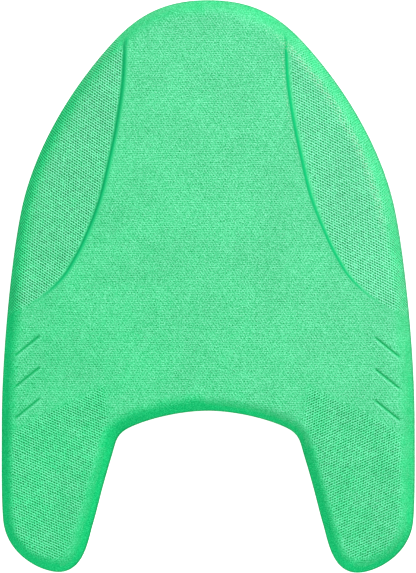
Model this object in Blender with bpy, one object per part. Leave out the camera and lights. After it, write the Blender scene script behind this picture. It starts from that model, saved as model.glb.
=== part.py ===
"""Kickboard float: a moulded foam swimming board with a forked tail.

The board lies flat on its base, +Y towards the nose, +X to the right and +Z up. The origin is the
middle of its base. It is a laminate of five pieces: a foam core, a facing skin above and below it
that meet at a parting line half way up the rim, and the bond film between each skin and the core.
"""

from math import atan2, ceil, cos, pi, radians, sin, tan

import bmesh
import bpy
from mathutils import Vector
from mathutils.geometry import delaunay_2d_cdt

MM = 0.001

# Driving dimensions
LENGTH = 420 * MM
WIDTH = 304 * MM
THICKNESS = 36 * MM
SKIN = 4 * MM
FILM = 0.3 * MM
GAP = 0.3 * MM

# The rim: a bulge at the parting line, a wall that leans inward, then a fillet up to the deck
LEAN = radians(25)
PARTING_RADIUS = 10 * MM
TAIL_FILLET = 7 * MM
SHOULDER_FILLET = 10 * MM
PARTING_STEPS = 2
FILLET_STEPS = 4
INNER_FILLET_STEPS = 2

# The fillet grows from the tail's radius to the shoulders' over this stretch of Y
FILLET_FROM_Y = -110 * MM
FILLET_TO_Y = 40 * MM

# How finely a curve of the outline is divided
MOST_TURN = radians(9)
MOST_STEP = 18 * MM

# Right half of the outline, nose to tail: x, y, heading in degrees clockwise from +X, and how far
# the curve's handles reach before and after the point. The left half mirrors it.
HALF_LENGTH = LENGTH / 2
HALF_WIDTH = WIDTH / 2
OUTLINE = (
    (0 * MM, HALF_LENGTH, 0, 0 * MM, 34 * MM),
    (72 * MM, 177 * MM, 48, 28 * MM, 59 * MM),
    (136.5 * MM, 60.5 * MM, 77, 29 * MM, 35 * MM),
    (HALF_WIDTH, -101.5 * MM, 90, 53 * MM, 21 * MM),
    (151 * MM, -171.5 * MM, 95, 17 * MM, 26 * MM),
    (110 * MM, -HALF_LENGTH, 180, 13 * MM, 19 * MM),
    (84.5 * MM, -174 * MM, 253, 12 * MM, 12 * MM),
    (70.5 * MM, -123.5 * MM, 253, 31 * MM, 9 * MM),
    (58 * MM, -104 * MM, 206, 11 * MM, 15 * MM),
    (0 * MM, -91.5 * MM, 180, 20 * MM, 0 * MM),
)

# Side grip panels: sunk below the deck outboard of a crease that runs down from the shoulder.
# The step is a cove, steepest at the deck's edge, and it fades out towards the crease's lower end.
CREASE = (
    (58.5 * MM, 180 * MM),
    (60 * MM, 150 * MM),
    (64.5 * MM, 120 * MM),
    (70.5 * MM, 92 * MM),
    (78 * MM, 62 * MM),
    (85.5 * MM, 42 * MM),
    (95 * MM, 22 * MM),
    (107 * MM, 4 * MM),
    (121.5 * MM, -9 * MM),
)
PANEL_DEPTH = 1.8 * MM
COVE_WIDTH = 3 * MM
COVE_STEEPNESS = 3
COVE_SHARES = (0, 0.33, 1)
PANEL_FADE_FROM_Y = -14 * MM
PANEL_FADE_TO_Y = 20 * MM

# Thumb grooves on each side: three V cuts. These are the inner and outer end of the top right one.
# The left ones lie a little further in along their own line.
GROOVE_COUNT = 3
GROOVE_PITCH = 23 * MM
GROOVE_START = (123.5 * MM, -37 * MM)
GROOVE_END = (142.5 * MM, -52.3 * MM)
LEFT_GROOVE_INSET = 1.9 * MM
GROOVE_DEPTH = 1.4 * MM
GROOVE_HALF_WIDTH = 1.3 * MM
CUTTER_RISE = 2 * MM

# Points of the deck nearer than this are one point; edges sharper than this aren't smoothed over
MERGE_DISTANCE = 0.001 * MM
SHARP_ANGLE = radians(40)


def clear_scene():
    for obj in list(bpy.data.objects):
        bpy.data.objects.remove(obj)


def ramp(value, low, high):
    """0 below low, 1 above high, and an S curve between them."""
    share = min(max((value - low) / (high - low), 0), 1)
    return share * share * (3 - 2 * share)


def material(name, colour, roughness):
    made = bpy.data.materials.new(name)
    made.use_nodes = True
    shader = made.node_tree.nodes["Principled BSDF"]
    shader.inputs["Base Color"].default_value = (*colour, 1)
    shader.inputs["Roughness"].default_value = roughness
    shader.inputs["Metallic"].default_value = 0
    return made


def add_object(name, mesh, finish, parent):
    obj = bpy.data.objects.new(name, mesh)
    obj.data.materials.append(finish)
    obj.parent = parent
    bpy.context.collection.objects.link(obj)
    return obj


def bezier(points, share):
    """The place and the direction of travel at a share of the way along a cubic curve."""
    p0, p1, p2, p3 = points
    rest = 1 - share
    place = rest**3 * p0 + 3 * rest**2 * share * p1 + 3 * rest * share**2 * p2 + share**3 * p3
    travel = rest**2 * (p1 - p0) + 2 * rest * share * (p2 - p1) + share**2 * (p3 - p2)
    return place, travel.normalized()


def half_outline():
    """(place, outward direction) pairs down the right half, nose to the crown of the tail arch."""
    stations = []
    for start, end in zip(OUTLINE, OUTLINE[1:]):
        ways = [Vector((cos(radians(-a[2])), sin(radians(-a[2])))) for a in (start, end)]
        p0, p3 = Vector(start[:2]), Vector(end[:2])
        curve = (p0, p0 + ways[0] * start[4], p3 - ways[1] * end[3], p3)
        turn = radians(abs(end[2] - start[2]))
        steps = ceil(max(turn / MOST_TURN, (p3 - p0).length / MOST_STEP))
        for step in range(steps):
            place, travel = bezier(curve, step / steps)
            stations.append((place, Vector((-travel.y, travel.x))))
    stations.append((Vector(OUTLINE[-1][:2]), Vector((0, -1))))
    return stations


def whole_outline():
    """Clockwise all the way round, starting at the nose."""
    right = half_outline()
    left = [(Vector((-p.x, p.y)), Vector((-n.x, n.y))) for p, n in reversed(right[1:-1])]
    return right + left


def fillet_at(place):
    share = ramp(place.y, FILLET_FROM_Y, FILLET_TO_Y)
    return TAIL_FILLET + (SHOULDER_FILLET - TAIL_FILLET) * share


def rim_section(fillet, depth, steps):
    """(inset, height above the parting plane) points up the rim, at a depth below its surface."""
    radius = fillet - depth
    top = THICKNESS / 2 - depth
    wall_top = top - radius * (1 - sin(LEAN))
    foot = depth / cos(LEAN) - PARTING_RADIUS * (1 / cos(LEAN) - 1)
    if depth == 0:
        section = [(0, GAP / 2)]
        for step in range(1, PARTING_STEPS + 1):
            angle = LEAN * step / PARTING_STEPS
            section.append((PARTING_RADIUS * (1 - cos(angle)), PARTING_RADIUS * sin(angle)))
    else:
        section = [(foot, GAP / 2)]
    middle = foot + wall_top * tan(LEAN) + radius * cos(LEAN)
    for step in range(steps + 1):
        angle = LEAN + (pi / 2 - LEAN) * step / steps
        section.append((middle - radius * cos(angle), top - radius + radius * sin(angle)))
    return section


def panel_depth(y):
    return PANEL_DEPTH * ramp(y, PANEL_FADE_FROM_Y, PANEL_FADE_TO_Y)


def crease_x(y):
    """X of the right crease at y, straight between its points and beyond its ends."""
    for (x0, y0), (x1, y1) in zip(CREASE, CREASE[1:]):
        if y >= y1:
            break
    return x0 + (x1 - x0) * (y - y0) / (y1 - y0)


def panel_drop(x, y):
    """How far the deck is sunk at a place, by the grip panels."""
    across = min(max((abs(x) - crease_x(y)) / COVE_WIDTH, 0), 1)
    return panel_depth(y) * (1 - (1 - across) ** COVE_STEEPNESS)


def rings(stations, depth, steps, side, sunk=False):
    """Loops of points from the parting plane to the face; side is 1 for the deck, -1 for the base."""
    sections = [rim_section(fillet_at(place), depth, steps) for place, _ in stations]
    loops = []
    for level in range(len(sections[0])):
        loop = []
        for (place, out), section in zip(stations, sections):
            inset, height = section[level]
            spot = place - out * inset
            if sunk:
                wall_top = section[-1 - steps][1]
                risen = max(0, (height - wall_top) / (section[-1][1] - wall_top))
                height -= risen * panel_drop(spot.x, spot.y)
            loop.append(Vector((spot.x, spot.y, THICKNESS / 2 + side * height)))
        loops.append(loop)
    return loops


def skirt(mesh, lower, upper):
    """A band of faces between two loops of vertices, facing away from the board's middle."""
    count = len(lower)
    for i in range(count):
        after = (i + 1) % count
        mesh.faces.new((lower[i], upper[i], upper[after], lower[after]))


def loft(mesh, loops):
    rows = [[mesh.verts.new(point) for point in loop] for loop in loops]
    for lower, upper in zip(rows, rows[1:]):
        skirt(mesh, lower, upper)
    return rows


def crease_lines():
    """The top, the bend and the foot of the cove at each crease, as chains of places on the deck."""
    lines = []
    for side in (1, -1):
        for share in COVE_SHARES:
            shift = share * COVE_WIDTH
            lines.append([Vector((side * (x + shift), y)) for x, y in CREASE[1:]])
    return lines


def sunk_deck(mesh, edge):
    """Fills the deck inside its edge loop, with the panels sunk below it."""
    places = [vert.co.xy for vert in edge]
    links = [(i, (i + 1) % len(edge)) for i in range(len(edge))]
    for line in crease_lines():
        first = len(places)
        places += line
        links += [(i, i + 1) for i in range(first, len(places) - 1)]
    found, _, faces, _, _, _ = delaunay_2d_cdt(places, links, [range(len(edge))], 1, MERGE_DISTANCE)
    top = THICKNESS
    inner = [mesh.verts.new((p.x, p.y, top - panel_drop(p.x, p.y))) for p in found[len(edge):]]
    verts = list(edge) + inner
    for face in faces:
        mesh.faces.new([verts[i] for i in face])


def finished(mesh, name):
    bmesh.ops.recalc_face_normals(mesh, faces=mesh.faces)
    made = bpy.data.meshes.new(name)
    mesh.to_mesh(made)
    mesh.free()
    made.shade_smooth()
    made.set_sharp_from_angle(angle=SHARP_ANGLE)
    return made


def shell_mesh(name, stations, outer, inner, side, steps, sunk=False):
    """A dish between two depths below the board's surface, open at the parting plane."""
    mesh = bmesh.new()
    outside = loft(mesh, rings(stations, outer, steps, side, sunk))
    inside = loft(mesh, rings(stations, inner, INNER_FILLET_STEPS, side))
    skirt(mesh, inside[0], outside[0])
    mesh.faces.new(inside[-1])
    if sunk:
        sunk_deck(mesh, outside[-1])
    else:
        mesh.faces.new(outside[-1])
    return finished(mesh, name)


def core_mesh(name, stations, depth):
    mesh = bmesh.new()
    above = rings(stations, depth, INNER_FILLET_STEPS, 1)
    below = rings(stations, depth, INNER_FILLET_STEPS, -1)
    rows = loft(mesh, below[:0:-1] + above[1:])
    mesh.faces.new(rows[0])
    mesh.faces.new(rows[-1])
    return finished(mesh, name)


def groove_cutter(index, side):
    """An upside-down hipped roof whose ridge is the bottom of one V groove."""
    start = Vector(GROOVE_START)
    end = Vector(GROOVE_END)
    run = end - start
    rise = (GROOVE_DEPTH + CUTTER_RISE) / GROOVE_DEPTH
    spread = GROOVE_HALF_WIDTH * rise
    mesh = bmesh.new()
    for along in (-1, 1):
        mesh.verts.new((along * run.length / 2, 0, -GROOVE_DEPTH))
        for across in (-1, 1):
            mesh.verts.new((along * (run.length / 2 + spread), across * spread, CUTTER_RISE))
    bmesh.ops.convex_hull(mesh, input=mesh.verts)
    name = f"groove_cutter_{'right' if side > 0 else 'left'}_{index + 1}"
    data = bpy.data.meshes.new(name)
    mesh.to_mesh(data)
    mesh.free()
    cutter = bpy.data.objects.new(name, data)
    middle = (start + end) / 2 - Vector((0, index * GROOVE_PITCH))
    if side < 0:
        middle -= run.normalized() * LEFT_GROOVE_INSET
    cutter.location = (side * middle.x, middle.y, THICKNESS)
    cutter.rotation_euler.z = atan2(run.y, side * run.x)
    cutter.hide_render = True
    cutter.display_type = "WIRE"
    bpy.context.collection.objects.link(cutter)
    return cutter


def cut_grooves(deck, parent):
    for side in (1, -1):
        for index in range(GROOVE_COUNT):
            cutter = groove_cutter(index, side)
            cutter.parent = parent
            cut = deck.modifiers.new(cutter.name, "BOOLEAN")
            cut.operation = "DIFFERENCE"
            cut.solver = "EXACT"
            cut.object = cutter


def build_board():
    clear_scene()
    board = bpy.data.objects.new("kickboard", None)
    bpy.context.collection.objects.link(board)
    stations = whole_outline()

    facing = material("facing_foam_green", (0.04, 0.62, 0.22), 0.6)
    base_facing = material("base_foam_green", (0.03, 0.55, 0.19), 0.6)
    core_foam = material("core_foam_pale_green", (0.35, 0.75, 0.45), 0.85)
    deck_glue = material("deck_bond_clear", (0.75, 0.8, 0.7), 0.35)
    base_glue = material("base_bond_clear", (0.7, 0.75, 0.65), 0.35)

    film_top = SKIN + GAP
    film_foot = film_top + FILM
    core_top = film_foot + GAP
    deck_mesh = shell_mesh("deck_skin", stations, 0, SKIN, 1, FILLET_STEPS, sunk=True)
    deck = add_object("deck_skin", deck_mesh, facing, board)
    cut_grooves(deck, board)
    base_mesh = shell_mesh("base_skin", stations, 0, SKIN, -1, FILLET_STEPS)
    add_object("base_skin", base_mesh, base_facing, board)
    add_object("foam_core", core_mesh("foam_core", stations, core_top), core_foam, board)
    for name, side, glue in (("deck_bond_film", 1, deck_glue), ("base_bond_film", -1, base_glue)):
        film = shell_mesh(name, stations, film_top, film_foot, side, INNER_FILLET_STEPS)
        add_object(name, film, glue, board)


build_board()
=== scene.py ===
"""Looks for the kickboard float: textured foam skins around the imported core, and a plain studio.

Lengths are in metres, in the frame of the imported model: the board lies on its base with its nose
towards +Y. The two skins are rebuilt as fine meshes. A skin is a ring of rows up the rim, and
inside that a field of points on the lattice of its moulded mesh texture, where every third point
is a pit.
"""

from math import cos, pi, radians, sin, tan

import bpy
import numpy as np
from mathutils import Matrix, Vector
from mathutils.geometry import delaunay_2d_cdt


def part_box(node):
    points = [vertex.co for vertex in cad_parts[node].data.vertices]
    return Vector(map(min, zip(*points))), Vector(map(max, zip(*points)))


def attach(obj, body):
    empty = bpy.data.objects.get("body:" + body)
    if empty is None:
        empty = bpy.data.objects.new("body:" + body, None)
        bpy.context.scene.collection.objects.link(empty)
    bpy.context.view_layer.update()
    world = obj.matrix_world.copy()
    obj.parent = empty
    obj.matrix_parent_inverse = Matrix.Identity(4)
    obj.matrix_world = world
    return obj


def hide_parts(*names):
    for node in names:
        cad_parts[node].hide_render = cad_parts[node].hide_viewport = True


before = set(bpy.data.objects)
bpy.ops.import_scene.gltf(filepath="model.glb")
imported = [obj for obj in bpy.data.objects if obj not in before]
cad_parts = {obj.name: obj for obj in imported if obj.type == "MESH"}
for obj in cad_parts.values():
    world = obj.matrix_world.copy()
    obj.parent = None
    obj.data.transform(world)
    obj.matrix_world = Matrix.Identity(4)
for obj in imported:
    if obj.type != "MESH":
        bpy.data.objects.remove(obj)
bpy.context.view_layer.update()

BODY = "root"
MM = 0.001

# The board's size comes from the frame; the rest of the design is given in millimetres
LOW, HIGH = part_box("deck_skin")
HALF_LENGTH = HIGH.y
HALF_WIDTH = HIGH.x
TOP = HIGH.z
PARTING_Z = TOP / 2
GAP = 2 * (LOW.z - PARTING_Z)
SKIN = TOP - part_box("deck_bond_film")[1].z - GAP

# Right half of the outline, nose to tail: x, y, heading in degrees clockwise from +X, and how far
# the curve's handles reach before and after the point. The left half mirrors it.
OUTLINE = (
    (0 * MM, HALF_LENGTH, 0, 0 * MM, 34 * MM),
    (72 * MM, 177 * MM, 48, 28 * MM, 59 * MM),
    (136.5 * MM, 60.5 * MM, 77, 29 * MM, 35 * MM),
    (152 * MM, -101.5 * MM, 90, 53 * MM, 21 * MM),
    (151 * MM, -171.5 * MM, 95, 17 * MM, 26 * MM),
    (110 * MM, -HALF_LENGTH, 180, 13 * MM, 19 * MM),
    (84.5 * MM, -174 * MM, 253, 12 * MM, 12 * MM),
    (70.5 * MM, -123.5 * MM, 253, 31 * MM, 9 * MM),
    (58 * MM, -104 * MM, 206, 11 * MM, 15 * MM),
    (0 * MM, -91.5 * MM, 180, 20 * MM, 0 * MM),
)
OUTLINE_STEP = 1.6 * MM
CURVE_SAMPLES = 400
POINTS_AT_ONCE = 4000

# The rim: a lip at the parting line, a bulge, a wall that leans inward, then a fillet to the deck
LEAN = radians(25)
PARTING_RADIUS = 10 * MM
LIP = 0.45 * MM
TAIL_FILLET = 7 * MM
SHOULDER_FILLET = 10 * MM
FILLET_FROM_Y = -110 * MM
FILLET_TO_Y = 40 * MM
LIP_ROWS = 3
BULGE_ROWS = 4
WALL_ROWS = 8
FILLET_ROWS = 3
JOIN_ANGLE = radians(50)
LINING_ROWS = 2

# Side grip panels, sunk outboard of a crease; the step is a cove, and the deck rises to a lip at it
CREASE = (
    (58.5 * MM, 180 * MM),
    (60 * MM, 150 * MM),
    (64.5 * MM, 120 * MM),
    (70.5 * MM, 92 * MM),
    (78 * MM, 62 * MM),
    (85.5 * MM, 42 * MM),
    (95 * MM, 22 * MM),
    (107 * MM, 4 * MM),
    (121.5 * MM, -9 * MM),
    (136 * MM, -19 * MM),
)
CREASE_LOW_Y = -18.5 * MM
CREASE_HIGH_Y = 195 * MM
PANEL_DEPTH = 1.8 * MM
COVE_START = -0.2 * MM
COVE_WIDTH = 2.6 * MM
PANEL_FADE_FROM_Y = -14 * MM
PANEL_FADE_TO_Y = 20 * MM
CREASE_LIP_RISE = 0.2 * MM
CREASE_LIP_WIDTH = 1.4 * MM
CREASE_ROWS = [shift * MM for shift in (-2.4, -1.5, -0.8, -0.3, 0, 0.3, 0.7, 1.3, 2.1, 3.0)]
CREASE_ROW_STEP = 1.1 * MM

# Thumb grooves: three V cuts on each side, with a raised lip on the side towards the tail. These
# are the ends of the top right one; the left ones lie a little further in along their own line.
GROOVE_COUNT = 3
GROOVE_PITCH = 23 * MM
GROOVE_START = (123 * MM, -36.6 * MM)
GROOVE_END = (143 * MM, -52.7 * MM)
GROOVE_DEPTH = 1.4 * MM
GROOVE_HALF_WIDTH = 1.4 * MM
GROOVE_TAPER = 2.5 * MM
GROOVE_LIP_RISE = 0.45 * MM
GROOVE_LIP_ACROSS = 1.9 * MM
GROOVE_LIP_WIDTH = 0.8 * MM
LEFT_GROOVE_INSET = 1.9 * MM
GROOVE_MARK_WIDTH = 0.85 * MM
GROOVE_MARK_PEAK = 1.1
GROOVE_ROWS = [shift * MM for shift in (-2.0, -1.3, -0.6, 0, 0.6, 1.3, 2.0, 2.7, 3.5)]
GROOVE_ROW_STEP = 0.9 * MM

# Coarse grip fields on the legs, right side
LEG_FIELD = [
    (x * MM, y * MM)
    for x, y in (
        (75, -72.5),
        (98, -84),
        (122, -94),
        (144, -108),
        (144, -165),
        (140, -184),
        (130, -196),
        (112, -201),
        (103, -198),
        (94, -174),
        (86, -145),
        (78.5, -117),
        (70.5, -97),
    )
]

# The moulded mesh. A field's texture has pits where three waves crest together. In a grip field
# the waves are WAVE apart, at 60 degrees to each other; in the middle of the deck the pattern is
# flatter and wider.
WAVE = 1.75 * MM
GRIP_TURN = {"panel": radians(3), "leg": radians(-6)}
MIDDLE_PITCH_X = 2.15 * MM
MIDDLE_PITCH_Y = 3.18 * MM
FIELDS = ("middle", "panel", "leg")
PIT_DEPTH = 0.28 * MM
PIT_SPREAD = (0.6, 1.3)
GRAIN = 0.02 * MM
EDGE_ROOM = 0.7 * MM
FIELD_ROOM = 0.35 * MM
ROW_ROOM = 1.5 * FIELD_ROOM
MERGE_DISTANCE = 1e-7
SHARP_ANGLE = radians(50)
SEED = 7

# How strong the mesh texture is in each place, from 0 to a little over 1. It is flatter on the rim.
MIDDLE_GRIP = 0.35
RIM_GRIP = 0.12
PANEL_GRIP = (1.38, 1.07)  # left, right
PANEL_RIM_GRIP = (1.2, 0.6)  # left, right
LOW_RIM_GRIP = 0.4
LOW_RIM_Y = (60 * MM, -10 * MM)
PANEL_MESH_LOW_Y = (-19 * MM, -34 * MM)  # on the face, on the wall
PANEL_MESH_FADE = 8 * MM
PANEL_MESH_INSET = 0.8 * COVE_WIDTH
WALL_FADE = 3
LEG_GRIP = 1.15
LEG_GRIP_EDGE = (-1 * MM, 4 * MM)
MIDDLE_RIM = (6 * MM, 13 * MM)
PANEL_RIM = (7 * MM, 11 * MM)
SMOOTHED_BY_CREASE = 0.85
SMOOTHED_MIDDLE = 0.8 * MM
SMOOTHED_WIDTH = 2 * MM

# Marks along the creases, as distances outboard: where one starts, is full, starts to fade and
# ends. The first set of each pair is the right crease's, and the second is the left one's.
# A smooth band, coloured with painted shade
SMOOTH_SHADE_MARKS = [[at * MM for at in marks] for marks in ((-0.8, -0.2, 1.2, 2.4), (-2.4, 1.0, 1.9, 3.0))]
# A line of painted shade at the top of the step
SHADE_LINE_MARKS = [[at * MM for at in marks] for marks in ((-0.6, 0.0, 0.3, 1.0), (0.6, 1.3, 1.9, 2.6))]
# Painted glints along the right crease
GLINT_MARKS = [at * MM for at in (-3.6, -2.4, -1.7, -0.9)]
GLINT_Y = (60 * MM, 140 * MM)
MARKS_Y = (-18 * MM, 4 * MM)
MARKS_BELOW_TOP = 3 * MM
# Towards the nose the right crease's marks move inboard, and towards the tail the left one's do
MARKS_SHIFT = 0.6 * MM
RIGHT_SHIFT_Y = (30 * MM, 80 * MM)
LEFT_SHIFT_Y = (140 * MM, 90 * MM)
# Shares of the smooth painted-shade band and of the painted shade line in the groove bottoms
GROOVE_SMOOTH_SHADE = 0.9
GROOVE_SHADE_LINE = 0.4
# How strong the painted glints along the crease are
CREASE_GLINTS = 0.6
# The band of painted glints on the shoulders, as insets and as Y
SHOULDER_GLINTS = (0.75, 0.1)  # right, left
SHOULDER_INSET = [at * MM for at in (6.5, 8.5, 11, 14)]
SHOULDER_Y = [at * MM for at in (20, 70, 170, 195)]
# Painted shade near the parting line: full within the first height of it, none past the second
SEAM_REACH = (2.6 * MM, 5.5 * MM)

# The painted sheen, a paler colour standing in for the lights' reflection: how much the walls keep,
# how much the shaded left and the legs lose, and the insets between which it comes in on a lit edge
# and on a shaded one
WALL_PAINTED_SHEEN = 0.45
LEFT_LESS_SHEEN = 0.32
LEG_LESS_SHEEN = 0.36
LIT_EDGE = (3.5 * MM, 10.5 * MM)
SHADED_EDGE = (5.5 * MM, 13.5 * MM)
LEG_EDGE_SHORTER = 2.5 * MM
LEG_SHEEN_EDGE = (-4 * MM, 4 * MM)
LEG_MIDDLE_X = 108 * MM
ARCH_Y = -118 * MM
# The painted sheen grows along this way, towards the lights
SHEEN_WAY_TO_LIGHT = (0.8, 0.6)
WALL_SHEEN_ALONG = (-40 * MM, 110 * MM)
FACE_SHEEN_ALONG = (-130 * MM, 130 * MM)


# ---------------------------------------------------------------- outline and rim

def ramp(value, low, high):
    """0 below low, 1 above high, and an S curve between them. It falls where low is above high."""
    share = np.clip((value - low) / (high - low), 0, 1)
    return share * share * (3 - 2 * share)


def band(value, start, full, fade, end):
    """0 outside start and end, and 1 between full and fade."""
    return ramp(value, start, full) * ramp(value, end, fade)


def heading(degrees):
    return np.array((cos(radians(-degrees)), sin(radians(-degrees))))


def outline_curve(start, end):
    """Places and directions of travel, closely spaced along one curve of the outline."""
    share = np.linspace(0, 1, CURVE_SAMPLES)[:, None]
    rest = 1 - share
    p0, p3 = np.array(start[:2]), np.array(end[:2])
    p1 = p0 + heading(start[2]) * start[4]
    p2 = p3 - heading(end[2]) * end[3]
    place = rest**3 * p0 + 3 * rest**2 * share * p1 + 3 * rest * share**2 * p2 + share**3 * p3
    travel = rest**2 * (p1 - p0) + 2 * rest * share * (p2 - p1) + share**2 * (p3 - p2)
    return place, travel / np.linalg.norm(travel, axis=1)[:, None]


def outline():
    """Evenly spaced places clockwise round the board from the nose, and the way out at each."""
    curves = [outline_curve(start, end) for start, end in zip(OUTLINE, OUTLINE[1:])]
    place = np.vstack([curve[0] for curve in curves])
    travel = np.vstack([curve[1] for curve in curves])
    lengths = np.linalg.norm(np.diff(place, axis=0), axis=1)
    along = np.concatenate([[0], np.cumsum(lengths)])
    count = round(along[-1] / OUTLINE_STEP)
    stops = np.linspace(0, along[-1], count + 1)
    right = np.column_stack([np.interp(stops, along, place[:, axis]) for axis in (0, 1)])
    way = np.column_stack([np.interp(stops, along, travel[:, axis]) for axis in (0, 1)])
    way /= np.linalg.norm(way, axis=1)[:, None]
    out = np.column_stack([-way[:, 1], way[:, 0]])
    mirror = np.array((-1, 1))
    places = np.vstack([right, right[-2:0:-1] * mirror])
    outs = np.vstack([out, out[-2:0:-1] * mirror])
    return places, outs


def fillet_at(y):
    return TAIL_FILLET + (SHOULDER_FILLET - TAIL_FILLET) * ramp(y, FILLET_FROM_Y, FILLET_TO_Y)


def wall_top(fillet):
    """Height above the parting plane where the wall meets a fillet of this radius."""
    return PARTING_Z - fillet * (1 - sin(LEAN))


def fillet_middle(fillet):
    """How far in from the outline the centre of the fillet is."""
    foot = -PARTING_RADIUS * (1 / cos(LEAN) - 1)
    return foot + wall_top(fillet) * tan(LEAN) + fillet * cos(LEAN)


def rim_rows(fillet):
    """(inset, height) of each row up the rim, from the parting line to the join with the deck."""
    rows = []
    for step in range(LIP_ROWS):
        angle = pi / 2 * step / LIP_ROWS
        rows.append((LIP * (1 - sin(angle)), GAP / 2 + LIP * (1 - cos(angle))))
    for step in range(1, BULGE_ROWS + 1):
        angle = LEAN * step / BULGE_ROWS
        rows.append((PARTING_RADIUS * (1 - cos(angle)), PARTING_RADIUS * sin(angle)))
    low_inset, low_height = rows[-1]
    middle = fillet_middle(fillet)
    high_inset = middle - fillet * cos(LEAN)
    for step in range(1, WALL_ROWS + 1):
        share = step / WALL_ROWS
        inset = low_inset + (high_inset - low_inset) * share
        rows.append((inset, low_height + (wall_top(fillet) - low_height) * share))
    for step in range(1, FILLET_ROWS + 1):
        angle = LEAN + (JOIN_ANGLE - LEAN) * step / FILLET_ROWS
        rows.append((middle - fillet * cos(angle), PARTING_Z - fillet * (1 - sin(angle))))
    return rows


def fillet_share(height, fillet):
    """0 at the foot of the fillet and 1 at the flat, for a height above the parting plane."""
    foot = wall_top(fillet)
    return np.clip((height - foot) / (PARTING_Z - foot), 0, 1)


def rim_height(inset, fillet):
    """Height of the fillet or the flat above the parting plane, at an inset past the wall."""
    short = np.clip(fillet_middle(fillet) - inset, 0, fillet)
    return PARTING_Z - fillet + np.sqrt(fillet**2 - short**2)


def inset_of(points, places):
    """Distance in from the outline of each point."""
    inset = np.empty(len(points))
    for first in range(0, len(points), POINTS_AT_ONCE):
        part = points[first:first + POINTS_AT_ONCE]
        apart = ((part[:, None, :] - places[None]) ** 2).sum(axis=2)
        inset[first:first + POINTS_AT_ONCE] = np.sqrt(apart.min(axis=1))
    return inset


# ---------------------------------------------------------------- relief of the deck

def crease_x(y):
    """X of the right crease at y: a smooth curve through its points."""
    xs = np.array([x for x, _ in CREASE])[::-1]
    ys = np.array([y for _, y in CREASE])[::-1]
    slopes = np.gradient(xs, ys)
    low = np.clip(np.searchsorted(ys, y) - 1, 0, len(ys) - 2)
    width = ys[low + 1] - ys[low]
    share = (y - ys[low]) / width
    inside = np.clip(share, 0, 1)
    smooth = (
        (1 + 2 * inside) * (1 - inside) ** 2 * xs[low]
        + inside * (1 - inside) ** 2 * width * slopes[low]
        + inside**2 * (3 - 2 * inside) * xs[low + 1]
        + inside**2 * (inside - 1) * width * slopes[low + 1]
    )
    beyond = np.where(share > 1, (share - 1) * slopes[low + 1], np.minimum(share, 0) * slopes[low])
    return smooth + beyond * width


def outboard_of_crease(x, y):
    return np.abs(x) - crease_x(y)


def panel_share(y):
    return ramp(y, PANEL_FADE_FROM_Y, PANEL_FADE_TO_Y)


def panel_drop(x, y):
    """How far the grip panels are sunk below the deck at a place."""
    outboard = outboard_of_crease(x, y)
    cove = ramp(outboard, COVE_START, COVE_WIDTH)
    lip = np.exp(-(((outboard + CREASE_LIP_WIDTH / 2) / CREASE_LIP_WIDTH) ** 2)) * (outboard < 0)
    return panel_share(y) * (PANEL_DEPTH * cove - CREASE_LIP_RISE * lip)


def groove_lines():
    """Start, unit direction and length of each groove on the right side."""
    start, end = np.array(GROOVE_START), np.array(GROOVE_END)
    length = np.linalg.norm(end - start)
    way = (end - start) / length
    return [(start - (0, index * GROOVE_PITCH), way, length) for index in range(GROOVE_COUNT)]


def groove_place(x, y, line):
    """(distance along, distance across towards the tail) a groove's line."""
    start, way, _ = line
    dx, dy = np.abs(x) - start[0], y - start[1]
    return dx * way[0] + dy * way[1] + LEFT_GROOVE_INSET * (x < 0), dx * way[1] - dy * way[0]


def groove_ends(along, line):
    return ramp(along, 0, GROOVE_TAPER) * ramp(line[2] - along, 0, GROOVE_TAPER)


def groove_drop(x, y):
    """How far the grooves cut into the deck at a place; they have a raised lip on the tail side."""
    drop = 0
    for line in groove_lines():
        along, across = groove_place(x, y, line)
        cut = GROOVE_DEPTH * np.clip(1 - np.abs(across) / GROOVE_HALF_WIDTH, 0, 1)
        lip = GROOVE_LIP_RISE * np.exp(-(((across - GROOVE_LIP_ACROSS) / GROOVE_LIP_WIDTH) ** 2))
        drop = drop + groove_ends(along, line) * (cut - lip)
    return drop


def groove_marks(x, y):
    """Two shares: how near a place is to the bottom of a groove, and to the top of its lip."""
    bottom = top = 0
    for line in groove_lines():
        along, across = groove_place(x, y, line)
        ends = groove_ends(along, line)
        near = np.clip(GROOVE_MARK_PEAK - np.abs(across) / GROOVE_MARK_WIDTH, 0, 1)
        bottom = bottom + ends * near
        top = top + ends * np.exp(-(((across - GROOVE_LIP_ACROSS) / GROOVE_LIP_WIDTH) ** 2))
    return bottom, top


def in_field_polygon(x, y):
    """Distance inside (above 0) or outside (below 0) the leg's grip field, for |x|."""
    x = np.abs(x)
    inside = np.zeros(x.shape, bool)
    nearest = np.full(x.shape, 1.0)
    for (x0, y0), (x1, y1) in zip(LEG_FIELD, LEG_FIELD[1:] + LEG_FIELD[:1]):
        crosses = (y0 > y) != (y1 > y)
        slope = (x1 - x0) / (y1 - y0) if y1 != y0 else 0
        inside ^= crosses & (x < x0 + (y - y0) * slope)
        run = np.array((x1 - x0, y1 - y0))
        share = np.clip(((x - x0) * run[0] + (y - y0) * run[1]) / (run @ run), 0, 1)
        nearest = np.minimum(nearest, np.hypot(x - x0 - share * run[0], y - y0 - share * run[1]))
    return np.where(inside, nearest, -nearest)


def field_of(x, y):
    """Which of FIELDS each place belongs to."""
    panel = (outboard_of_crease(x, y) > COVE_WIDTH / 2) & (y > PANEL_MESH_LOW_Y[1])
    leg = in_field_polygon(x, y) > 0
    return np.where(leg, 2, np.where(panel, 1, 0))


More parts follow.
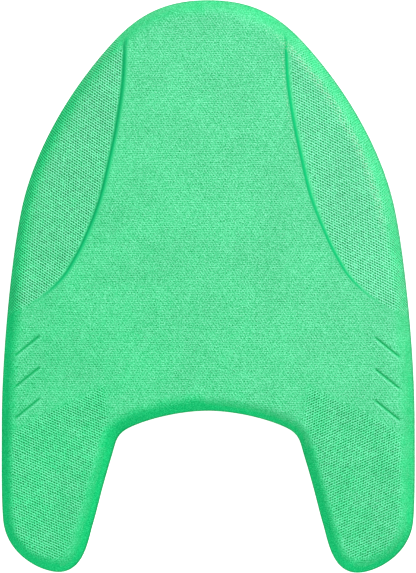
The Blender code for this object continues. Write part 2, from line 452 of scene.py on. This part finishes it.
def grip_of(x, y, inset, sunk):
    """How strong the mesh texture is."""
    middle = RIM_GRIP + (MIDDLE_GRIP - RIM_GRIP) * ramp(inset, *MIDDLE_RIM)
    if not sunk:
        return middle
    outboard = outboard_of_crease(x, y)
    wall = 1 - ramp(inset, *PANEL_RIM)
    face_low, wall_low = PANEL_MESH_LOW_Y
    lower_edge = ramp(y - face_low - (wall_low - face_low) * wall, 0, PANEL_MESH_FADE)
    edge_width = PANEL_MESH_INSET + WALL_FADE * COVE_WIDTH * wall
    panel = ramp(outboard - PANEL_MESH_INSET, 0, edge_width) * lower_edge
    rim_grip = np.where(x < 0, *PANEL_RIM_GRIP) + LOW_RIM_GRIP * ramp(y, *LOW_RIM_Y) * (x > 0)
    face_grip = np.where(x < 0, *PANEL_GRIP)
    panel_grip = face_grip + (rim_grip - face_grip) * wall
    leg = ramp(in_field_polygon(x, y), *LEG_GRIP_EDGE)
    crease = np.exp(-(((outboard - SMOOTHED_MIDDLE) / SMOOTHED_WIDTH) ** 2)) * panel_share(y)
    blended = middle + (panel_grip - middle) * panel
    blended = blended + (LEG_GRIP - blended) * leg
    return blended * (1 - SMOOTHED_BY_CREASE * crease)


# ---------------------------------------------------------------- lattice of the mesh texture

def waves(field, side):
    """The two main wave vectors of a field's texture; the third is their difference."""
    if field == 0:
        flat = np.array((1 / MIDDLE_PITCH_X, 1 / MIDDLE_PITCH_Y))
        return np.array((flat, flat * (1, -1)))
    turn = GRIP_TURN[FIELDS[field]] * side
    main = pi / 3 if FIELDS[field] == "panel" else -side * pi / 3
    return np.array([(cos(angle) / WAVE, sin(angle) / WAVE) for angle in (turn, turn + main)])


def lattice(field, side, low, high):
    """Points of a field's lattice in a box; and which of them are pits, which are one in three."""
    vectors = waves(field, side)
    corners = np.array([(x, y) for x in (low[0], high[0]) for y in (low[1], high[1])])
    reach = corners @ vectors.T
    first = np.floor(reach.min(axis=0)).astype(int) - 1
    last = np.ceil(reach.max(axis=0)).astype(int) + 1
    i, j = np.meshgrid(np.arange(first[0], last[0]), np.arange(first[1], last[1]), indexing="ij")
    points, pits = [], []
    for third in range(3):
        counts = np.stack([i + third / 3, j - third / 3], axis=-1).reshape(-1, 2)
        points.append(counts @ np.linalg.inv(vectors).T)
        pits.append(np.full(len(counts), third == 0))
    points, pits = np.vstack(points), np.concatenate(pits)
    inside = ((points > low) & (points < high)).all(axis=1)
    return points[inside], pits[inside]


def clear_of_rows(points):
    """False for a point where rows of points along a crease or a groove will be put instead."""
    x, y = points.T
    outboard = outboard_of_crease(x, y)
    crease = (outboard > CREASE_ROWS[0] - ROW_ROOM) & (outboard < CREASE_ROWS[-1] + ROW_ROOM)
    clear = ~(crease & (y > CREASE_LOW_Y - ROW_ROOM))
    for line in groove_lines():
        along, across = groove_place(x, y, line)
        near = np.abs(across) < GROOVE_ROWS[-1] + ROW_ROOM
        clear &= ~(near & (along > -ROW_ROOM) & (along < line[2] + ROW_ROOM))
    return clear


def crease_points():
    ys = np.arange(CREASE_LOW_Y, CREASE_HIGH_Y, CREASE_ROW_STEP)
    right = [np.column_stack([crease_x(ys) + shift, ys]) for shift in CREASE_ROWS]
    return np.vstack([points * (side, 1) for points in right for side in (1, -1)])


def groove_points():
    made = []
    for start, way, length in groove_lines():
        along = np.arange(0, length, GROOVE_ROW_STEP)
        across = np.array((way[1], -way[0]))
        for shift in GROOVE_ROWS:
            row = start + along[:, None] * way + shift * across
            made += [row, (row - LEFT_GROOVE_INSET * way) * (-1, 1)]
    return np.vstack(made)


def away_from_other_fields(points, field):
    """False for points too close to the edge of their field."""
    clear = np.ones(len(points), bool)
    for dx, dy in ((1, 0), (-1, 0), (0, 1), (0, -1)):
        clear &= field_of(points[:, 0] + dx * FIELD_ROOM, points[:, 1] + dy * FIELD_ROOM) == field
    return clear


def field_lattices(sunk):
    """(field, points, pits) of each field's lattice. The grips' mirror each other left to right."""
    low = np.array((-HALF_WIDTH, -HALF_LENGTH))
    high = -low
    yield 0, *lattice(0, 1, low, high)
    for field in (1, 2) if sunk else ():
        yield field, *lattice(field, 1, low * (0, 1), high)
        yield field, *lattice(field, -1, low, high * (0, 1))


def deck_points(places, join_inset, sunk):
    """Points for the inside of a skin's face, how deep a pit each is, from 0 to 1, and insets."""
    parts = []
    for field, points, pits in field_lattices(sunk):
        if sunk:
            keep = field_of(*points.T) == field
            keep &= away_from_other_fields(points, field) & clear_of_rows(points)
            points, pits = points[keep], pits[keep]
        parts.append((points, pits))
    if sunk:
        parts += [(rows, np.zeros(len(rows), bool)) for rows in (crease_points(), groove_points())]
    points = np.vstack([part[0] for part in parts])
    pits = np.concatenate([part[1] for part in parts]).astype(float)
    inset = inset_of(points, places)
    keep = (inset > join_inset + EDGE_ROOM) & inside_outline(points, places)
    return points[keep], pits[keep], inset[keep]


def inside_outline(points, places):
    """True for a point inside the closed line through the places."""
    inside = np.zeros(len(points), bool)
    x, y = points.T
    for (x0, y0), (x1, y1) in zip(places, np.roll(places, -1, axis=0)):
        if y0 == y1:
            continue
        crosses = (y0 > y) != (y1 > y)
        inside ^= crosses & (x < x0 + (y - y0) * (x1 - x0) / (y1 - y0))
    return inside


# ---------------------------------------------------------------- skin meshes

def skin_rows(places, outs, side, sunk):
    """Rows of vertices up the rim, outer surface, as an array of row, station, xyz, and insets."""
    fillets = fillet_at(places[:, 1])
    sections = np.array([rim_rows(fillet) for fillet in fillets])
    inset, height = sections[:, :, 0].T, sections[:, :, 1].T
    spots = places[None] - outs[None] * inset[:, :, None]
    if sunk:
        height = height - fillet_share(height, fillets) * panel_drop(spots[..., 0], spots[..., 1])
    return np.dstack([spots, PARTING_Z + side * height]), inset


def unrolled(rows, outs):
    """Where the rim's points would lie if the rim were laid flat, outward from the face's edge."""
    steps = np.linalg.norm(np.diff(rows, axis=0), axis=2)
    reach = np.vstack([np.cumsum(steps[::-1], axis=0)[::-1], np.zeros(len(outs))])
    return rows[-1][:, :2] + outs * reach[..., None]


def lining_rows(places, outs, side):
    """Rows of the hidden inner face, from the parting plane to the flat, a skin's thickness in."""
    fillets = fillet_at(places[:, 1])
    foot = SKIN / cos(LEAN) - PARTING_RADIUS * (1 / cos(LEAN) - 1)
    rows = [(np.full(len(places), foot), np.full(len(places), GAP / 2))]
    for step in range(LINING_ROWS + 1):
        angle = LEAN + (pi / 2 - LEAN) * step / LINING_ROWS
        radius = fillets - SKIN
        height = PARTING_Z - SKIN - radius * (1 - sin(angle))
        rows.append((fillet_middle(fillets) - radius * cos(angle), height))
    made = []
    for inset, height in rows:
        spots = places - outs * inset[:, None]
        made.append(np.column_stack([spots, PARTING_Z + side * height]))
    return np.array(made)


def ring(count):
    """Each place in a closed row of count vertices, and the next place after it."""
    here = np.arange(count)
    return here, (here + 1) % count


def bands(first, rows, count):
    """Quads between successive rows of count vertices each, numbered from first."""
    here, after = ring(count)
    quads = []
    for row in range(rows - 1):
        low = first + row * count
        high = low + count
        quads.append(np.column_stack([low + here, high + here, high + after, low + after]))
    return np.vstack(quads)


def fill(edge, points):
    """Triangles over the edge loop's inside, numbered with the edge's points first."""
    places = [Vector(place) for place in np.vstack([edge, points])]
    count = len(edge)
    links = np.column_stack(ring(count)).tolist()
    found, _, faces, _, _, _ = delaunay_2d_cdt(places, links, [range(count)], 1, MERGE_DISTANCE)
    if len(found) != len(places):
        raise ValueError("two points of the deck fell together")
    return np.array([list(face) for face in faces])


def skin_faces(row_count, edge, points, lining_count):
    """Faces over a skin's rows up the rim, the points inside the last row, and its lining rows."""
    count = len(edge)
    lining_first = row_count * count + len(points)
    here, after = ring(count)
    seam = np.column_stack([here, after, lining_first + after, lining_first + here])
    lining = bands(lining_first, lining_count, count)[:, ::-1]
    quads = np.vstack([bands(0, row_count, count), lining, seam])
    triangles = fill(edge, points) + (row_count - 1) * count
    ceiling = lining_first + (lining_count - 1) * count + here
    return quads.tolist() + triangles.tolist() + [ceiling.tolist()]


def face_height(points, inset, pits, sunk, random):
    """Height above the parting plane of the face's points, and the texture's strength there."""
    x, y = points.T
    fillets = fillet_at(y)
    height = rim_height(inset, fillets)
    if sunk:
        height = height - fillet_share(height, fillets) * panel_drop(x, y) - groove_drop(x, y)
    grip = grip_of(x, y, inset, sunk)
    depth = PIT_DEPTH * grip * pits * random.uniform(*PIT_SPREAD, len(points))
    return height - depth - GRAIN * random.uniform(0, 1, len(points)), grip


def weave_coordinates(corners, centres, sunk):
    """Each face corner's place in its field's lattice, so that whole numbers are pits."""
    fields = field_of(*centres.T) if sunk else np.zeros(len(centres), int)
    made = np.empty(corners.shape)
    for field in range(len(FIELDS)):
        for side in (1, -1):
            chosen = (fields == field) & ((centres[:, 0] >= 0) == (side > 0))
            made[chosen] = corners[chosen] @ waves(field, side).T
    return made


def add_float(data, name, values):
    layer = data.attributes.new(name, "FLOAT", "POINT")
    layer.data.foreach_set("value", values.astype(np.float32))


def skin(name, side, sunk):
    """A facing skin as a closed mesh: rim, textured face and hidden lining."""
    random = np.random.default_rng(SEED + side)
    places, outs = outline()
    rows, row_insets = skin_rows(places, outs, side, sunk)
    edge = rows[-1][:, :2]
    points, pits, inset = deck_points(places, row_insets[-1].max(), sunk)
    height, face_grip = face_height(points, inset, pits, sunk, random)
    top = np.column_stack([points, PARTING_Z + side * height])
    lining = lining_rows(places, outs, side)

    flat_rows = rows.reshape(-1, 3)
    verts = np.vstack([flat_rows, top, lining.reshape(-1, 3)])
    row_grip = grip_of(flat_rows[:, 0], flat_rows[:, 1], row_insets.ravel(), sunk)
    hidden = np.zeros(lining.shape[0] * lining.shape[1])
    grip = np.concatenate([row_grip, face_grip, hidden])
    all_inset = np.concatenate([row_insets.ravel(), inset, hidden])

    faces = skin_faces(len(rows), edge, points, len(lining))
    if side < 0:
        faces = [face[::-1] for face in faces]
    data = bpy.data.meshes.new(name)
    data.from_pydata(verts.tolist(), [], faces)
    obj = bpy.data.objects.new(name, data)
    bpy.context.scene.collection.objects.link(obj)
    data.shade_smooth()
    data.set_sharp_from_angle(angle=SHARP_ANGLE)
    add_float(data, "grip", grip)
    add_painted_sheen(data, verts, all_inset, sunk)
    add_crease_marks(data, verts, all_inset, sunk)
    flat = np.vstack([unrolled(rows, outs).reshape(-1, 2), points, lining[..., :2].reshape(-1, 2)])
    add_weave(data, flat, sunk)
    return obj


def add_crease_marks(data, verts, inset, sunk):
    """Painted shade, painted highlights and painted glints along the creases and grooves, and
    painted shade near the parting line.
    """
    x, y, z = verts.T
    right = x > 0
    moved = np.where(right, ramp(y, *RIGHT_SHIFT_Y), ramp(y, *LEFT_SHIFT_Y))
    outboard = outboard_of_crease(x, y) + MARKS_SHIFT * moved
    share = ramp(z, PARTING_Z + wall_top(TAIL_FILLET), TOP - MARKS_BELOW_TOP)
    share = ramp(y, *MARKS_Y) * sunk * share
    # A smooth band coloured with painted shade, and a line of painted shade at the step's top
    smooth_painted_shade = np.where(right, *(band(outboard, *marks) for marks in SMOOTH_SHADE_MARKS))
    shade_line = np.where(right, *(band(outboard, *marks) for marks in SHADE_LINE_MARKS))
    # Painted glints along the right crease
    painted_glints = band(outboard, *GLINT_MARKS) * right * ramp(y, *GLINT_Y)
    bottom, top = groove_marks(x, y)
    add_float(data, "smooth_painted_shade", np.maximum(smooth_painted_shade * share, GROOVE_SMOOTH_SHADE * bottom * sunk))
    add_float(data, "painted_shade_line", np.maximum(shade_line * share, GROOVE_SHADE_LINE * bottom * sunk))
    # Painted highlight on the top of each groove's lip
    add_float(data, "painted_lip_highlight", top * sunk)
    # Painted glints on the shoulders, strong on the lit right
    shoulder = band(inset, *SHOULDER_INSET) * band(y, *SHOULDER_Y) * sunk
    shoulder = shoulder * np.where(right, *SHOULDER_GLINTS)
    add_float(data, "painted_glints", np.maximum(CREASE_GLINTS * painted_glints * share, shoulder))
    # Painted shade: darker near the parting line
    add_float(data, "seam", ramp(np.abs(z - PARTING_Z), SEAM_REACH[1], SEAM_REACH[0]))


def add_painted_sheen(data, verts, inset, sunk):
    """How much painted sheen, a paler colour standing in for the lights' reflection, the skin has:
    less on walls, on the shaded left and on the legs.
    """
    x, y, _ = verts.T
    leg = ramp(in_field_polygon(x, y), *LEG_SHEEN_EDGE) * sunk
    inner = (np.abs(x) < LEG_MIDDLE_X) & (y < ARCH_Y)
    shaded = (x < 0) ^ inner
    near, far = (np.where(shaded, *edges) for edges in zip(SHADED_EDGE, LIT_EDGE))
    far = far - LEG_EDGE_SHORTER * leg * shaded
    share = np.clip((inset - near) / (far - near), 0, 1)
    along = SHEEN_WAY_TO_LIGHT[0] * x + SHEEN_WAY_TO_LIGHT[1] * y
    wall = WALL_PAINTED_SHEEN * ramp(along, *WALL_SHEEN_ALONG)
    most = 1 - LEFT_LESS_SHEEN * (1 - ramp(along, *FACE_SHEEN_ALONG))
    add_float(data, "painted_sheen", (wall + (most - wall) * share) * (1 - LEG_LESS_SHEEN * leg))


def add_weave(data, flat, sunk):
    """The UV layer that the texture's nodes read, from the places of the points laid flat."""
    co = np.empty(len(data.vertices) * 3, np.float32)
    data.vertices.foreach_get("co", co)
    true = co.reshape(-1, 3)[:, :2].astype(float)
    loops = np.empty(len(data.loops), np.int32)
    data.loops.foreach_get("vertex_index", loops)
    starts = np.empty(len(data.polygons), np.int32)
    totals = np.empty(len(data.polygons), np.int32)
    data.polygons.foreach_get("loop_start", starts)
    data.polygons.foreach_get("loop_total", totals)
    owner = np.repeat(np.arange(len(totals)), totals)
    centres = (np.add.reduceat(true[loops], starts) / totals[:, None])[owner]
    layer = data.uv_layers.new(name="weave")
    places = weave_coordinates(flat[loops], centres, sunk)
    layer.data.foreach_set("uv", places.astype(np.float32).ravel())


# ---------------------------------------------------------------- materials

# Colours of pits, the mean and threads, with the painted sheen, a paler colour standing in for the
# lights' reflection, and without it
# In each set the darker pits are painted shade in the hollows, and the paler threads painted sheen
# on the crests
DECK_WITH_SHEEN = ((0.0, 0.37, 0.084), (0.064, 0.65, 0.27), (0.27, 0.99, 0.6))
DECK_WITHOUT_SHEEN = ((0.0, 0.37, 0.069), (0.007, 0.65, 0.2), (0.08, 0.96, 0.38))
# Painted shade, for the smooth bands along the creases and groove bottoms
DECK_PAINTED_SHADE = (0.002, 0.52, 0.17)
BASE_WITH_SHEEN = ((0.0, 0.25, 0.065), (0.055, 0.62, 0.255), (0.26, 0.9, 0.52))
BASE_WITHOUT_SHEEN = ((0.0, 0.2, 0.05), (0.016, 0.6, 0.19), (0.065, 0.8, 0.28))
# Painted shade, for the base's smooth bands
BASE_PAINTED_SHADE = (0.002, 0.49, 0.16)
# Colour of the painted glints
GLINT_COLOUR = (0.5, 0.8, 0.55)

# The texture: its contrast, how far its lines wander, and the shares of its three waves where the
# grip is weak and where it is strong
WEAVE_CONTRAST = 0.75
PIT_LEVEL = 0.08
MEAN_LEVEL = 0.5
SPECK_CONTRAST = 1.3
GRIP_LIFT = 0.11
WANDER = 0.4
WEAK_GRIP = 0.45
STRONG_GRIP = 0.8
WAVE_SHARES = ((0.3, 0.3), (0.17, 0.55), (0.44, 0.15))
PATCHY_CONTRAST = (0.5, 1.45)
SHEEN_PATCHES = 0.4

# Scales of noise, in features to a metre, and the pairs of its values that a noise is used between
WANDER_SCALE = 260.0
CONTRAST_SCALE = 420.0
SPECK_SCALE = 1300.0
SHEEN_PATCH_SCALE = 95.0
CLOUD_SCALE = 28.0
NOISE_MEAN = 0.5
NOISE_SPAN = (0.3, 0.7)
SHEEN_PATCH_SPAN = (0.32, 0.68)
CLOUD_SPAN = (0.35, 0.65)
GLINT_SPAN = (0.52, 0.68)

CLOUD_TONES = (0.96, 1.03)
# How dark the painted shade line makes the colour
SHADE_LINE_TONE = 0.84
# How dark the painted shade near the parting line makes the colour
SEAM_SHADE_TONE = 0.7
BUMP_HEIGHT = 0.5 * MM
PIT_ROUGHNESS = 0.75
THREAD_ROUGHNESS = 0.42
SHEEN_SPECULAR = 0.5
# Specular level in the smooth bands of painted shade
SMOOTH_SHADE_SPECULAR = 0.1
LIT_LEVELS = (0.1, 0.7)
LEAST_LIT = 0.2
FOAM_IOR = 1.5
# How far the painted highlight on the grooves' lips raises the texture's level
LIP_HIGHLIGHT_LIFT = 0.17

# The cut core and the bond films, which the skins hide
CORE_PALE = (0.38, 0.78, 0.48)
CORE_GREEN = (0.30, 0.70, 0.40)
CORE_CELL_WALL = (0.16, 0.5, 0.26)
DECK_BOND = (0.75, 0.8, 0.7)
BASE_BOND = (0.7, 0.75, 0.65)
CELL_SCALE = 1400.0
CELL_SPAN = (0.1, 0.6)
CELL_SHARE = 0.4
CELL_BUMP = (0.5, 0.2 * MM)  # strength, distance
CORE_CLOUD_SCALE = 60.0
CORE_ROUGHNESS = (0.75, 0.95)
WEB_SCALE = 700.0
WEB_DETAIL = (4.0, 0.7)  # detail, roughness of the noise
WEB_MILK = 1.15
WEB_BUMP = (0.4, 0.1 * MM)  # strength, distance
WEB_ROUGHNESS = (0.25, 0.5)


class Nodes:
    """A short way to write a material's node tree."""

    def __init__(self, name):
        self.material = bpy.data.materials.new(name)
        self.material.use_nodes = True
        self.tree = self.material.node_tree
        self.shader = self.tree.nodes["Principled BSDF"]

    def add(self, kind, inputs=(), **settings):
        node = self.tree.nodes.new(kind)
        for key, value in settings.items():
            setattr(node, key, value)
        for key, value in dict(inputs).items():
            self.put(node.inputs[key], value)
        return node

    def put(self, socket, value):
        if isinstance(value, bpy.types.NodeSocket):
            self.tree.links.new(value, socket)
        else:
            socket.default_value = value

    def maths(self, operation, *values):
        node = self.add("ShaderNodeMath", operation=operation)
        for socket, value in zip(node.inputs, values):
            self.put(socket, value)
        return node.outputs[0]

    def ramp(self, value, low, high, to_low=0.0, to_high=1.0, smooth=True):
        node = self.add("ShaderNodeMapRange")
        node.interpolation_type = "SMOOTHSTEP" if smooth else "LINEAR"
        for socket, given in zip(node.inputs[:5], (value, low, high, to_low, to_high)):
            self.put(socket, given)
        return node.outputs[0]

    # Blender's Mix node has its own pair of sockets for each kind of data
    def mix(self, share, a, b, blend="MIX"):
        node = self.add("ShaderNodeMix", data_type="RGBA", blend_type=blend)
        for socket, value in zip((node.inputs[0], node.inputs[6], node.inputs[7]), (share, a, b)):
            self.put(socket, value if not isinstance(value, tuple) else (*value, 1))
        return node.outputs[2]

    def attribute(self, name):
        return self.add("ShaderNodeAttribute", attribute_name=name).outputs["Fac"]

    def mix_value(self, share, a, b):
        node = self.add("ShaderNodeMix", data_type="FLOAT")
        for socket, value in zip((node.inputs[0], node.inputs[2], node.inputs[3]), (share, a, b)):
            self.put(socket, value)
        return node.outputs[0]

    def grey(self, value):
        node = self.add("ShaderNodeCombineColor")
        for socket in node.inputs:
            self.put(socket, value)
        return node.outputs[0]

    def shades(self, value, colours):
        """A colour ramp through three colours."""
        node = self.add("ShaderNodeValToRGB", {"Fac": value})
        stops = node.color_ramp.elements
        stops[0].position = PIT_LEVEL
        stops.new(MEAN_LEVEL)
        for stop, colour in zip(stops, colours):
            stop.color = (*colour, 1)
        return node.outputs[0]

    def noise(self, scale, detail=2.0, roughness=0.5):
        settings = {"Scale": scale, "Detail": detail, "Roughness": roughness}
        node = self.add("ShaderNodeTexNoise", settings)
        self.put(node.inputs["Vector"], self.place())
        return node.outputs[0]

    def place(self):
        return self.add("ShaderNodeTexCoord").outputs["Object"]

    def bump(self, height, strength, distance):
        settings = {"Strength": strength, "Distance": distance, "Height": height}
        return self.add("ShaderNodeBump", settings).outputs[0]

    def set(self, **inputs):
        for key, value in inputs.items():
            self.put(self.shader.inputs[key.replace("_", " ")], value)


def weave_height(nodes, grip):
    """Level of the mesh texture: near MEAN_LEVEL, low in the pits and high on the threads."""
    uv = nodes.add("ShaderNodeUVMap", uv_map="weave").outputs[0]
    wobble = nodes.add("ShaderNodeTexNoise", {"Scale": WANDER_SCALE, "Detail": 1.0})
    nodes.put(wobble.inputs["Vector"], nodes.place())
    shift = nodes.add("ShaderNodeVectorMath", operation="MULTIPLY_ADD")
    nodes.put(shift.inputs[0], wobble.outputs["Color"])
    shift.inputs[1].default_value = (WANDER, WANDER, 0)
    shift.inputs[2].default_value = (-WANDER / 2, -WANDER / 2, 0)
    moved = nodes.add("ShaderNodeVectorMath", operation="ADD")
    nodes.put(moved.inputs[0], uv)
    nodes.put(moved.inputs[1], shift.outputs[0])
    split = nodes.add("ShaderNodeSeparateXYZ")
    nodes.put(split.inputs[0], moved.outputs[0])
    u, v = split.outputs[0], split.outputs[1]
    ways = (u, v, nodes.maths("SUBTRACT", u, v))
    total = 0.0
    for way, shares in zip(ways, WAVE_SHARES):
        crest = nodes.maths("COSINE", nodes.maths("MULTIPLY", way, 2 * pi))
        share = nodes.ramp(grip, WEAK_GRIP, STRONG_GRIP, *shares)
        total = nodes.maths("ADD", total, nodes.maths("MULTIPLY", crest, share))
    patchy = nodes.ramp(nodes.noise(CONTRAST_SCALE), *NOISE_SPAN, *PATCHY_CONTRAST)
    strength = nodes.maths("MULTIPLY", nodes.maths("MULTIPLY", grip, patchy), -WEAVE_CONTRAST)
    centred = nodes.maths("SUBTRACT", nodes.noise(SPECK_SCALE, 1.0), NOISE_MEAN)
    speck = nodes.maths("MULTIPLY", centred, SPECK_CONTRAST)
    middle = nodes.ramp(grip, 0, 1, MEAN_LEVEL, MEAN_LEVEL + GRIP_LIFT, smooth=False)
    crests = nodes.maths("MULTIPLY", total, strength)
    return nodes.maths("ADD", crests, nodes.maths("ADD", speck, middle))


def patchy_painted_sheen(nodes):
    """The painted sheen's share, broken into random patches where it is partial."""
    share = nodes.attribute("painted_sheen")
    partly = nodes.maths("MULTIPLY", share, nodes.maths("SUBTRACT", 1.0, share))
    patches = nodes.ramp(nodes.noise(SHEEN_PATCH_SCALE, 3.0), *SHEEN_PATCH_SPAN, -SHEEN_PATCHES, SHEEN_PATCHES)
    return nodes.maths("MULTIPLY_ADD", partly, patches, share)


def foam_material(name, with_sheen, without_sheen, painted_shade):
    """Moulded closed-cell foam, its colour with painted sheen, shade and glints. The colour sets
    are for pits, the mean and threads.
    """
    nodes = Nodes(name)
    # Smooth bands along creases and groove bottoms, coloured with painted shade
    smooth_painted_shade = nodes.attribute("smooth_painted_shade")
    # Painted highlight on the grooves' lips: a raised texture level, which pales the colour and
    # lifts the bump
    lift = nodes.maths("MULTIPLY", nodes.attribute("painted_lip_highlight"), LIP_HIGHLIGHT_LIFT)
    weave = weave_height(nodes, nodes.attribute("grip"))
    level = nodes.mix_value(smooth_painted_shade, nodes.maths("ADD", weave, lift), MEAN_LEVEL)
    # Painted glints: pale specks where the marks are
    specks = nodes.ramp(nodes.noise(SPECK_SCALE, 1.0), *GLINT_SPAN)
    glint = nodes.maths("MULTIPLY", specks, nodes.attribute("painted_glints"))
    # Painted sheen: the paler colour set where the lights' reflection falls, in random patches
    painted_sheen = patchy_painted_sheen(nodes)
    colour = nodes.mix(painted_sheen, nodes.shades(level, without_sheen), nodes.shades(level, with_sheen))
    colour = nodes.mix(smooth_painted_shade, colour, painted_shade)
    colour = nodes.mix(glint, colour, GLINT_COLOUR)
    cloudy = nodes.ramp(nodes.noise(CLOUD_SCALE, 3.0), *CLOUD_SPAN, *CLOUD_TONES)
    # A line of painted shade along the creases and groove bottoms
    shade_line = nodes.ramp(nodes.attribute("painted_shade_line"), 0, 1, 1.0, SHADE_LINE_TONE)
    # Painted shade near the parting line
    seam = nodes.ramp(nodes.attribute("seam"), 0, 1, 1.0, SEAM_SHADE_TONE)
    tone = nodes.maths("MULTIPLY", cloudy, nodes.maths("MULTIPLY", shade_line, seam))
    nodes.set(Base_Color=nodes.mix(1.0, colour, nodes.grey(tone), "MULTIPLY"))
    nodes.set(Normal=nodes.bump(level, 1.0, BUMP_HEIGHT))
    nodes.set(Roughness=nodes.ramp(level, 0, 1, PIT_ROUGHNESS, THREAD_ROUGHNESS))
    open_to_light = nodes.ramp(level, *LIT_LEVELS, LEAST_LIT, 1.0)
    sheen = nodes.maths("MULTIPLY", nodes.ramp(painted_sheen, 0, 1, 0.0, SHEEN_SPECULAR), open_to_light)
    nodes.set(IOR=FOAM_IOR, Specular_IOR_Level=nodes.mix_value(smooth_painted_shade, sheen, SMOOTH_SHADE_SPECULAR))
    return nodes.material


def cut_foam_material(name):
    """The core: fine open-looking cells on a cut face."""
    nodes = Nodes(name)
    cells = nodes.add("ShaderNodeTexVoronoi", {"Scale": CELL_SCALE})
    nodes.put(cells.inputs["Vector"], nodes.place())
    wall = nodes.ramp(cells.outputs["Distance"], *CELL_SPAN)
    tone = nodes.ramp(nodes.noise(CORE_CLOUD_SCALE, 3.0), *NOISE_SPAN)
    colour = nodes.mix(tone, CORE_GREEN, CORE_PALE)
    colour = nodes.mix(nodes.maths("MULTIPLY", wall, CELL_SHARE), colour, CORE_CELL_WALL)
    nodes.set(Base_Color=colour, Roughness=nodes.ramp(wall, 0, 1, *CORE_ROUGHNESS))
    nodes.set(Normal=nodes.bump(wall, *CELL_BUMP))
    return nodes.material


def bond_material(name, colour):
    """Hot-melt film: cloudy, with a fine web."""
    nodes = Nodes(name)
    web = nodes.ramp(nodes.noise(WEB_SCALE, *WEB_DETAIL), *CLOUD_SPAN)
    milky = tuple(min(1, value * WEB_MILK) for value in colour)
    nodes.set(Base_Color=nodes.mix(web, colour, milky))
    nodes.set(Roughness=nodes.ramp(web, 0, 1, *WEB_ROUGHNESS), Normal=nodes.bump(web, *WEB_BUMP))
    return nodes.material


def give(obj, material):
    obj.data.materials.clear()
    obj.data.materials.append(material)


# ---------------------------------------------------------------- studio

# The camera sees a bright floor and white air, and the board is lit by what they really give off
FLOOR_SIZE = 30
FLOOR_TONE = 0.9
FLOOR_BOUNCE = 0.9
FLOOR_GLOW = 0.8
FLOOR_PATCH_SCALE = 3.0
FLOOR_PATCH_TONES = (0.97, 1.0)
FLOOR_ROUGHNESS = 0.9
AIR_LIGHT = 0.66
SOFTBOXES = (  # name, azimuth and elevation in degrees, distance and size in metres, watts
    ("key_softbox", 57, 35, 3.0, 1.6, 53),
    ("fill_softbox", 262, 30, 1.9, 0.9, 5.2),
    ("overhead_softbox", 30, 75, 2.0, 1.2, 6),
)
FRAME_HEIGHT = 420.4 * MM
LENS = 600
SENSOR = 36
AIM = (0.05 * MM, -0.2 * MM)
VIEW_LEAN = radians(4.5)


def floor():
    bpy.ops.mesh.primitive_plane_add(size=FLOOR_SIZE)
    made = bpy.context.object
    made.name = "studio_floor"
    nodes = Nodes("studio_floor_white")
    seen = nodes.add("ShaderNodeLightPath").outputs["Is Camera Ray"]
    tone = nodes.ramp(nodes.noise(FLOOR_PATCH_SCALE), *NOISE_SPAN, *FLOOR_PATCH_TONES)
    reflected = nodes.ramp(seen, 0, 1, FLOOR_BOUNCE, FLOOR_TONE, smooth=False)
    shade = nodes.maths("MULTIPLY", tone, reflected)
    nodes.set(Base_Color=nodes.grey(shade), Roughness=FLOOR_ROUGHNESS, Specular_IOR_Level=0.0)
    glow = nodes.maths("MULTIPLY", seen, FLOOR_GLOW)
    nodes.set(Emission_Color=(1, 1, 1, 1), Emission_Strength=glow)
    give(made, nodes.material)


def softbox(name, azimuth, elevation, distance, size, power):
    data = bpy.data.lights.new(name, "AREA")
    data.shape = "SQUARE"
    data.size = size
    data.energy = power
    lamp = bpy.data.objects.new(name, data)
    turn, rise = radians(azimuth), radians(elevation)
    way = Vector((cos(rise) * cos(turn), cos(rise) * sin(turn), sin(rise)))
    lamp.location = way * distance
    lamp.rotation_euler = way.to_track_quat("Z", "Y").to_euler()
    bpy.context.scene.collection.objects.link(lamp)


def studio_lights():
    for settings in SOFTBOXES:
        softbox(*settings)
    world = bpy.data.worlds.new("studio_air")
    world.use_nodes = True
    tree = world.node_tree
    seen = tree.nodes.new("ShaderNodeLightPath").outputs["Is Camera Ray"]
    strength = tree.nodes.new("ShaderNodeMapRange")
    strength.inputs["To Min"].default_value = AIR_LIGHT
    tree.links.new(seen, strength.inputs["Value"])
    background = tree.nodes["Background"]
    background.inputs["Color"].default_value = (1, 1, 1, 1)
    tree.links.new(strength.outputs[0], background.inputs["Strength"])
    bpy.context.scene.world = world


def camera():
    """A long lens above the board, a little to the right of overhead."""
    data = bpy.data.cameras.new("camera")
    data.lens = LENS
    data.sensor_width = SENSOR
    made = bpy.data.objects.new("camera", data)
    distance = FRAME_HEIGHT * LENS / SENSOR
    back = Vector((sin(VIEW_LEAN), 0, cos(VIEW_LEAN)))
    made.location = Vector((*AIM, PARTING_Z)) + back * distance
    made.rotation_euler = (0, VIEW_LEAN, 0)
    bpy.context.scene.collection.objects.link(made)
    bpy.context.scene.camera = made


def build():
    deck = skin("deck_facing", 1, True)
    give(deck, foam_material("deck_facing_foam", DECK_WITH_SHEEN, DECK_WITHOUT_SHEEN, DECK_PAINTED_SHADE))
    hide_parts("deck_skin")
    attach(deck, BODY)
    base = skin("base_facing", -1, False)
    give(base, foam_material("base_facing_foam", BASE_WITH_SHEEN, BASE_WITHOUT_SHEEN, BASE_PAINTED_SHADE))
    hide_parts("base_skin")
    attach(base, BODY)
    give(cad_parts["foam_core"], cut_foam_material("core_foam"))
    give(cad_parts["deck_bond_film"], bond_material("deck_bond", DECK_BOND))
    give(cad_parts["base_bond_film"], bond_material("base_bond", BASE_BOND))
    floor()
    studio_lights()
    camera()
    bpy.context.scene.view_settings.view_transform = "Standard"


build()
